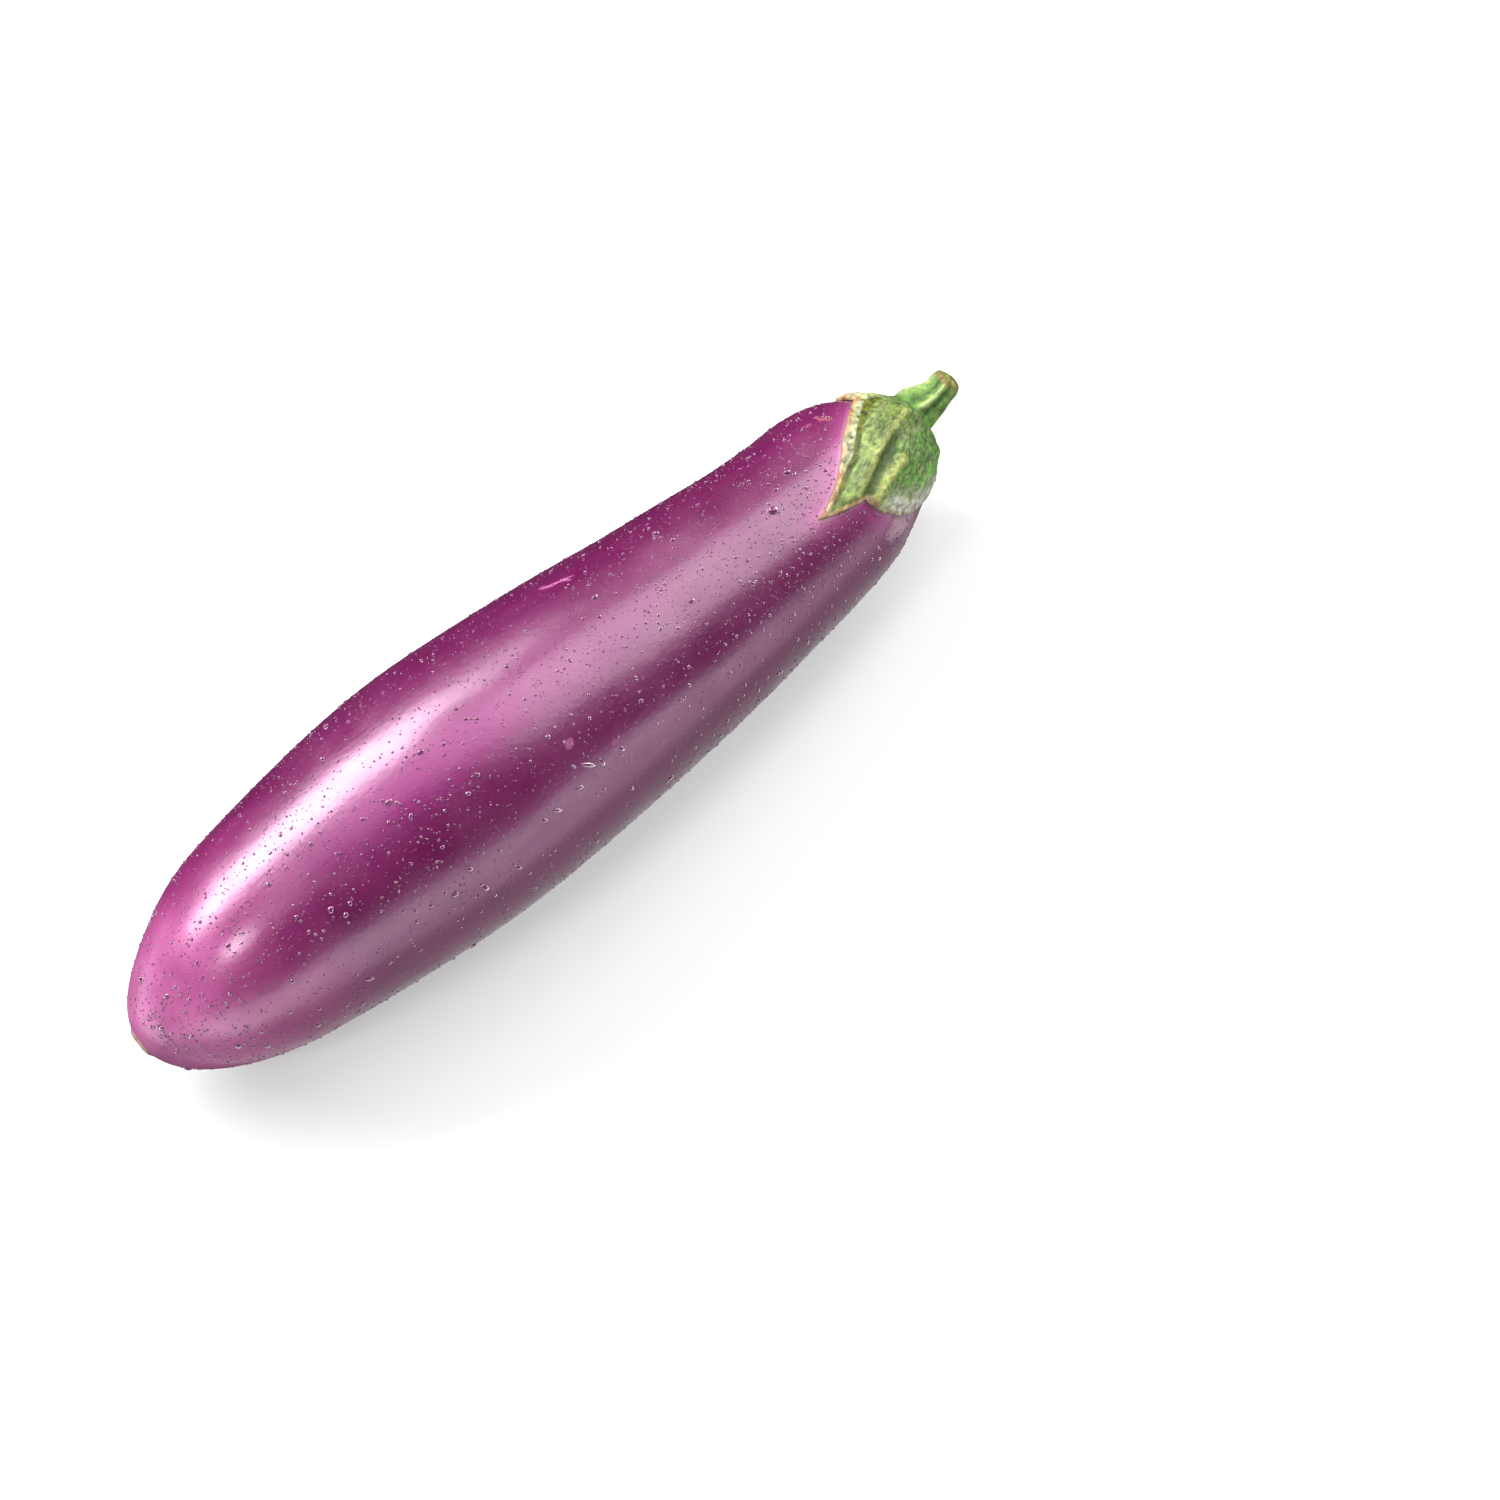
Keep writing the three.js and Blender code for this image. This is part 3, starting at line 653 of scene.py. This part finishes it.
class Nodes:
    """A short way to write a material's node tree."""

    def __init__(self, name):
        self.material = bpy.data.materials.new(name)
        self.material.use_nodes = True
        self.tree = self.material.node_tree
        self.shader = self.tree.nodes["Principled BSDF"]

    def add(self, kind, inputs=(), **settings):
        node = self.tree.nodes.new("ShaderNode" + kind)
        for key, value in settings.items():
            setattr(node, key, value)
        for key, value in dict(inputs).items():
            self.set(node.inputs[key], value)
        return node

    def set(self, socket, value):
        if isinstance(value, bpy.types.NodeSocket):
            self.tree.links.new(value, socket)
        else:
            socket.default_value = value

    def attribute(self, name):
        return self.add("Attribute", attribute_name=name).outputs["Fac"]

    def place(self, scale):
        """Object coordinates, in metres, times a scale."""
        where = self.add("TexCoord").outputs["Object"]
        return self.add("Mapping", {"Vector": where, "Scale": scale}).outputs["Vector"]

    def noise(self, scale, detail=2.0, roughness=0.5):
        vector = self.place(scale)
        return self.add("TexNoise", {"Vector": vector, "Scale": 1.0, "Detail": detail,
                                     "Roughness": roughness}).outputs["Fac"]

    def remap(self, value, low, high, to_low=0.0, to_high=1.0):
        return self.add("MapRange", {"Value": value, "From Min": low, "From Max": high, "To Min": to_low,
                                     "To Max": to_high}).outputs["Result"]

    def math(self, operation, a, b):
        return self.add("Math", {0: a, 1: b}, operation=operation).outputs[0]

    def spot(self, station, angle, length, width, heading=0.0, ragged=0.0):
        """1 in the middle of a spot of the skin and 0 past its edge: sizes in mm, heading from the axis."""
        centre = on_skin(np.array(float(station)), np.array(float(angle)))
        along, side, up = frame_at(np.array(float(station)))
        turned = math.radians(angle)
        around = up * math.cos(turned) - side * math.sin(turned)
        c, w = math.cos(math.radians(heading)), math.sin(math.radians(heading))
        offset = self.add("VectorMath", {0: self.add("TexCoord").outputs["Object"], 1: tuple(centre * MM)},
                          operation="SUBTRACT").outputs["Vector"]
        squares = []
        for axis, size in ((along * c + around * w, length), (around * c - along * w, width)):
            scaled = tuple(axis / (MM * size / 2))
            share = self.add("VectorMath", {0: offset, 1: scaled}, operation="DOT_PRODUCT")
            squares.append(self.math("POWER", self.math("ABSOLUTE", share.outputs["Value"], 0.0), 2.0))
        off = self.add("VectorMath", {0: offset}, operation="LENGTH").outputs["Value"]
        apart = self.math("ADD", squares[0], squares[1])
        apart = self.math("ADD", apart, self.remap(off, 0.5 * MM * length, MM * length, 0.0, 4.0))
        if ragged:
            frayed = self.remap(self.noise((900, 900, 900), 3), 0.35, 0.65, -ragged, ragged)
            apart = self.math("ADD", apart, frayed)
        return self.remap(apart, 0.3, 1.1, 1.0, 0.0)

    def ramp(self, value, stops):
        node = self.add("ValToRGB", {"Fac": value})
        ramp = node.color_ramp
        while len(ramp.elements) < len(stops):
            ramp.elements.new(0.5)
        for element, (position, colour) in zip(ramp.elements, stops):
            element.position = position
            element.color = (*colour, 1)
        return node.outputs["Color"]

    def mix(self, amount, a, b, blend="MIX"):
        node = self.add("Mix", data_type="RGBA", blend_type=blend)
        self.set(node.inputs["Factor"], amount)
        self.set(node.inputs[6], a)
        self.set(node.inputs[7], b)
        return node.outputs[2]


def srgb(r, g, b):
    """A linear colour from 0-255 sRGB values."""
    return tuple(c / 12.92 if c <= 0.04045 else ((c + 0.055) / 1.055) ** 2.4
                 for c in (r / 255, g / 255, b / 255))


def tone(r, g, b):
    """The colour of a matte surface that shows as this sRGB tone in the studio's light."""
    return tuple(c / LIGHT_LEVEL for c in srgb(r, g, b))


def rgba(r, g, b):
    return (*tone(r, g, b), 1)


def skin_material():
    m = Nodes("eggplant_skin")
    station = m.attribute("station")
    along = m.remap(station, 0, FRUIT_END)
    blotch = m.noise((28, 45, 45), 3)
    wander = m.math("ADD", along, m.remap(blotch, 0.3, 0.7, -0.03, 0.03))
    body = m.ramp(wander, [
        (0.0, tone(236, 144, 202)),
        (0.06, tone(210, 102, 170)),
        (0.13, tone(156, 44, 116)),
        (0.22, tone(112, 14, 82)),
        (0.5, tone(104, 8, 76)),
        (0.75, tone(102, 8, 72)),
        (0.92, tone(116, 20, 84)),
    ])
    streak = m.noise((14, 260, 260), 2)
    body = m.mix(m.remap(streak, 0.35, 0.7, 0.0, 0.14), body, rgba(160, 40, 118))
    cloud = m.noise((40, 90, 90), 3, 0.6)
    body = m.mix(m.remap(cloud, 0.45, 0.75, 0.0, 0.35), body, rgba(84, 6, 58))
    speck = m.noise((1300, 1300, 1300), 1)
    body = m.mix(m.remap(speck, 0.62, 0.8, 0.0, 0.3), body, rgba(180, 80, 140))
    # Painted light: the skin's top beside the highlight is made lighter and more magenta.
    body = m.mix(m.math("MULTIPLY", m.attribute("painted_top_light"), 0.85), body, rgba(150, 10, 116))
    halo = m.attribute("halo")
    body = m.mix(m.remap(halo, 0.1, 1.0, 0.0, 0.7), body, rgba(206, 86, 162))
    body = m.mix(m.remap(halo, 0.7, 1.0, 0.0, 0.6), body, rgba(226, 186, 190))
    for station, angle, length, width, heading, ragged, share, colour in SKIN_MARKS:
        spot = m.spot(station, angle, length, width, heading, ragged)
        body = m.mix(m.math("MULTIPLY", spot, share), body, rgba(*colour))
    scar = m.attribute("scar")
    cork = m.mix(m.remap(m.noise((900, 900, 900), 2), 0.4, 0.6), rgba(176, 132, 100), rgba(226, 192, 164))
    body = m.mix(m.remap(scar, 0.15, 0.7), body, cork)
    m.set(m.shader.inputs["Base Color"], body)
    uneven = m.math("ADD", m.noise((120, 120, 120), 2), scar)
    m.set(m.shader.inputs["Roughness"], m.remap(uneven, 0.3, 1.4, 0.3, 0.66))
    m.set(m.shader.inputs["IOR"], 1.58)
    m.set(m.shader.inputs["Specular Tint"], (1.0, 0.6, 0.88, 1))
    m.set(m.shader.inputs["Coat Weight"], 0.45)
    m.set(m.shader.inputs["Coat Roughness"], 0.24)
    bump = m.add("Bump", {"Height": m.noise((700, 1100, 1100), 3), "Strength": 0.16, "Distance": 0.0004})
    m.set(m.shader.inputs["Normal"], bump.outputs["Normal"])
    return m.material


def green_material():
    m = Nodes("calyx_flesh")
    mottle = m.noise((420, 480, 480), 4, 0.62)
    broad = m.noise((150, 170, 170), 3, 0.6)
    shade = m.attribute("shade")
    flesh = m.ramp(broad, [
        (0.34, tone(74, 102, 34)),
        (0.5, tone(116, 146, 60)),
        (0.66, tone(166, 188, 92)),
    ])
    pale = m.mix(m.remap(mottle, 0.35, 0.65), rgba(214, 214, 140), rgba(250, 248, 222))
    flesh = m.mix(m.math("MULTIPLY", m.attribute("pale"), 0.9), flesh, pale)
    leaf = m.mix(m.remap(broad, 0.38, 0.62), rgba(50, 100, 34), rgba(104, 184, 48))
    flesh = m.mix(m.math("MULTIPLY", m.attribute("green"), m.remap(broad, 0.3, 0.6, 0.55, 1)), flesh, leaf)
    # Painted shade: on the side away from the light, the mottling and the threads take darker copies of
    # their colours.
    dapple = m.mix(shade, rgba(84, 98, 30), rgba(44, 78, 34))
    flesh = m.mix(m.remap(mottle, 0.45, 0.62, 0.0, 0.9), flesh, dapple)
    net = m.attribute("net")
    thread = m.mix(shade, rgba(200, 208, 146), rgba(132, 170, 98))
    flesh = m.mix(m.math("MULTIPLY", net, m.remap(mottle, 0.35, 0.6, 0.15, 0.7)), flesh, thread)
    # Painted shade: dark olive along the crease of the folded furrow.
    olive = m.mix(m.remap(mottle, 0.4, 0.6), rgba(62, 68, 2), rgba(124, 132, 20))
    flesh = m.mix(m.remap(m.attribute("fold_painted_shade"), 0.2, 0.7, 0.0, 1.0), flesh, olive)
    # Painted shade: darker green along the shaded furrow.
    flesh = m.mix(m.remap(m.attribute("groove_painted_shade"), 0.2, 0.8, 0.0, 0.85), flesh, rgba(74, 98, 34))
    # Painted light: pale yellow along the bright crest and the rolled lobe edge, where the light catches
    # them.
    flesh = m.mix(m.remap(m.attribute("ridge_painted_light"), 0.35, 1.0, 0.0, 0.8), flesh, rgba(204, 212, 116))
    barrel = m.mix(m.remap(m.noise((300, 300, 300), 3), 0.35, 0.65), rgba(98, 146, 46), rgba(146, 186, 88))
    # Painted light over the stem's raised ribs and lit side, painted shade in its grooves.
    rib = m.attribute("rib")
    barrel = m.mix(m.remap(rib, 0.2, 1.0, 0.0, 0.85), barrel, rgba(196, 218, 140))
    barrel = m.mix(m.remap(rib, -0.2, -0.8, 0.0, 0.85), barrel, rgba(58, 100, 30))
    scab = m.mix(m.remap(mottle, 0.38, 0.6), rgba(204, 202, 176), rgba(252, 248, 238))
    flesh = m.mix(m.math("MULTIPLY", m.attribute("scab"), 0.9), flesh, scab)
    flesh = m.mix(m.attribute("stem"), flesh, barrel)
    rough_edge = m.remap(m.noise((330, 330, 330), 3), 0.3, 0.55, 0.25, 1)
    edge = m.math("MULTIPLY", m.remap(m.attribute("margin"), 0.3, 0.85), rough_edge)
    tan = m.mix(m.remap(m.noise((700, 700, 700), 3), 0.38, 0.6), rgba(178, 110, 62), rgba(226, 190, 142))
    cork = m.mix(m.remap(m.noise((700, 700, 700), 3), 0.38, 0.6), rgba(160, 150, 118), rgba(214, 206, 184))
    flesh = m.mix(edge, flesh, m.mix(m.attribute("corky"), tan, cork))
    pith = m.mix(m.remap(m.noise((800, 800, 800), 2), 0.4, 0.6), rgba(116, 118, 46), rgba(156, 158, 76))
    flesh = m.mix(m.attribute("cut"), flesh, pith)
    flesh = m.mix(m.math("MULTIPLY", m.attribute("ring"), m.remap(mottle, 0.4, 0.6, 0.3, 0.9)), flesh,
                  rgba(150, 120, 62))
    grain = m.remap(m.noise((800, 1000, 1000), 3, 0.6), 0.36, 0.64, 0.62, 1.3)
    flesh = m.mix(1.0, flesh, grain, "MULTIPLY")
    m.set(m.shader.inputs["Base Color"], flesh)
    m.set(m.shader.inputs["Roughness"], m.remap(mottle, 0.3, 0.7, 0.5, 0.66))
    m.set(m.shader.inputs["Specular IOR Level"], 0.3)
    m.set(m.shader.inputs["Coat Weight"], 0.04)
    m.set(m.shader.inputs["Coat Roughness"], 0.35)
    bump = m.add("Bump", {"Height": mottle, "Strength": 0.8, "Distance": 0.0005})
    m.set(m.shader.inputs["Normal"], bump.outputs["Normal"])
    return m.material


def water_material(name, clearness, roughness, colour):
    """Water that lets a share of the light through and shows the skin's tone for the rest."""
    m = Nodes(name)
    m.set(m.shader.inputs["Base Color"], colour)
    m.set(m.shader.inputs["Roughness"], roughness)
    m.set(m.shader.inputs["IOR"], 1.4)
    m.set(m.shader.inputs["Transmission Weight"], clearness)
    return m.material


def floor_material():
    m = Nodes("floor_white")
    m.set(m.shader.inputs["Base Color"], (0.3, 0.3, 0.3, 1))
    m.set(m.shader.inputs["Emission Color"], (1, 1, 1, 1))
    m.set(m.shader.inputs["Emission Strength"], 0.42)
    m.set(m.shader.inputs["Roughness"], 0.9)
    m.set(m.shader.inputs["Specular IOR Level"], 0.0)
    return m.material


# ---- The scene ----

def direction(azimuth, elevation):
    """From the eggplant outwards: azimuth in degrees from +X, elevation over the floor."""
    a, e = math.radians(azimuth), math.radians(elevation)
    return Vector((math.cos(a) * math.cos(e), math.sin(a) * math.cos(e), math.sin(e)))


def area_lamp(name, width, depth, radiance):
    """A rectangular lamp as bright as its radiance, which shows only in reflections and as light."""
    lamp = bpy.data.lights.new(name, "AREA")
    lamp.shape = "RECTANGLE"
    lamp.size, lamp.size_y = width, depth
    lamp.energy = radiance * width * depth * 4
    made = bpy.data.objects.new(name, lamp)
    made.visible_camera = False
    made.visible_transmission = False
    bpy.context.scene.collection.objects.link(made)
    return made


def softbox(name, azimuth, elevation, width, height, radiance, roll=0):
    """A lamp that looks at the eggplant from a direction."""
    made = area_lamp(name, width, height, radiance)
    towards = direction(azimuth, elevation)
    made.location = towards * LAMP_DISTANCE
    turned = towards.to_track_quat("Z", "Y") @ Quaternion((0, 0, 1), math.radians(roll))
    made.rotation_euler = turned.to_euler()


def table_glow(name, x, y, width, depth, radiance):
    """The white table's light on the lower right flank and the nose, from a lamp just over the floor."""
    made = area_lamp(name, width, depth, radiance)
    made.location = (x, y, MM)
    made.rotation_euler = (math.pi, 0, 0)


def make_camera():
    back = Vector(CAMERA_BACK)
    right = Vector(CAMERA_RIGHT).normalized()
    back = (back - right * back.dot(right)).normalized()
    up = back.cross(right)
    data = bpy.data.cameras.new("camera")
    data.sensor_width = CAMERA_SENSOR
    data.lens = CAMERA_LENS
    data.clip_start = 0.01
    made = bpy.data.objects.new("camera", data)
    turned = Matrix((right, up, back)).transposed().to_4x4()
    made.matrix_world = Matrix.Translation(CAMERA_PLACE) @ turned
    bpy.context.scene.collection.objects.link(made)
    bpy.context.scene.camera = made


make_camera()

fruit = make_fruit()
fruit.data.materials.append(skin_material())
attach(fruit, "root")
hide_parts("fruit")

calyx = make_calyx()
calyx.data.materials.append(green_material())
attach(calyx, "root")
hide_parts("calyx_with_stem")

drops = clear_drops()
drops.data.materials.append(water_material("water", 0.5, 0.08, rgba(166, 72, 136)))
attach(drops, "root")

mist = fine_drops()
mist.data.materials.append(water_material("water_fine", 0.2, 0.1, rgba(140, 50, 110)))
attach(mist, "root")

floor_mesh = bpy.data.meshes.new("floor")
corners = [(x * FLOOR_HALF, y * FLOOR_HALF, 0) for x, y in ((-1, -1), (1, -1), (1, 1), (-1, 1))]
floor_mesh.from_pydata(corners, [], [(0, 1, 2, 3)])
floor = bpy.data.objects.new("floor", floor_mesh)
bpy.context.scene.collection.objects.link(floor)
floor.data.materials.append(floor_material())
# The skin doesn't mirror the floor, nor do the drops show it: the low lamps stand in for it.
floor.visible_glossy = False
floor.visible_diffuse = False
floor.visible_transmission = False

softbox("key", 101, 40, 0.66, 0.46, 20, -30)
softbox("key_nose_end", 130, 30, 0.24, 0.3, 21, -20)
softbox("key_stem_end", 67, 42, 0.16, 0.28, 12)
softbox("overhead", 0, 40, 0.95, 1.23, 4.8)
softbox("small", -177, 51, 0.2, 0.22, 24)
softbox("low_fill", -112, 8, 2.8, 0.32, 3.3)
softbox("top", 80, 75, 1.0, 0.6, 1.9)
table_glow("table_near", 0, -0.065, 1.1, 0.1, 0.45)
table_glow("table_side", -0.1, -0.4, 1.1, 0.6, 1.6)
table_glow("table_nose", -0.3, -0.05, 0.3, 0.5, 2)

world = bpy.data.worlds.new("world")
world.use_nodes = True
world.node_tree.nodes["Background"].inputs["Color"].default_value = (WORLD_GREY, WORLD_GREY, WORLD_GREY, 1)
bpy.context.scene.world = world
bpy.context.scene.view_settings.view_transform = "Standard"
